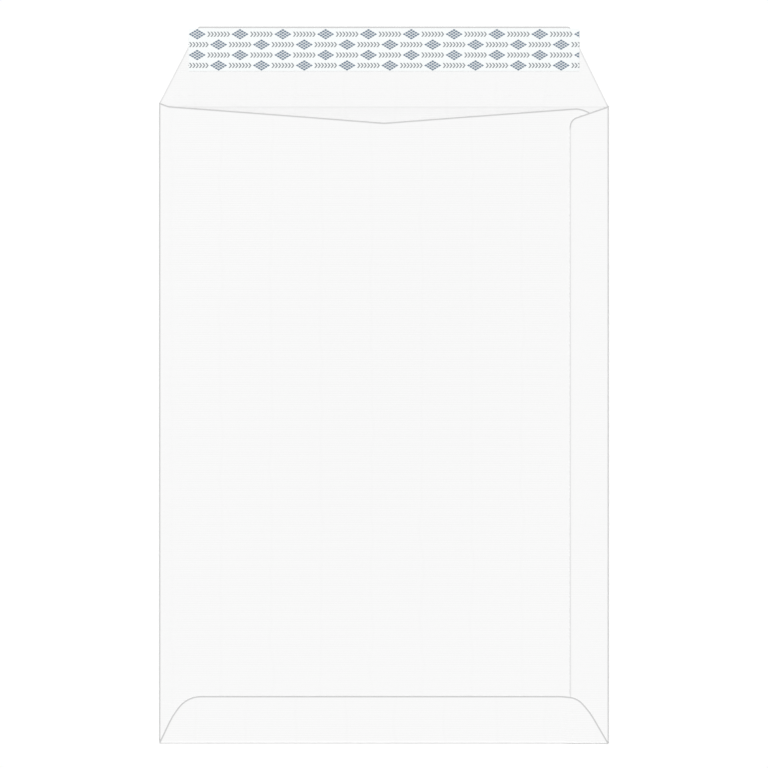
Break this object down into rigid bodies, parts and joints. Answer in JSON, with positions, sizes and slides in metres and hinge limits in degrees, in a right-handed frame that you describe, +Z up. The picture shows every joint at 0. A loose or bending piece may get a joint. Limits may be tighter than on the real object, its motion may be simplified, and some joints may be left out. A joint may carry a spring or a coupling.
{
  "type": "laid paper envelope",
  "caption": "Flat pocket envelope folded from one sheet of white laid paper, its closure flap open with a peel-off strip over the adhesive.",
  "frame": {"origin": "centre of the envelope's outline with the flap open, on the surface that its address side rests on", "axes": "+Y from the bottom fold towards the closure flap, +X to the right as seen from above, +Z up out of the seam side"},
  "size_m": [0.229, 0.365, 0.0056],
  "materials": {
    "envelope_paper": "matte",
    "liner_paper": "satin",
    "seam_glue": "matte",
    "seal_band": "satin"
  },
  "bodies": {
    "root": {"envelope_sheet": "envelope_paper", "side_seam_glue": "seam_glue", "bottom_seam_glue": "seam_glue", "seal_adhesive": "seal_band", "release_liner": "liner_paper"}
  },
  "joints": []
}
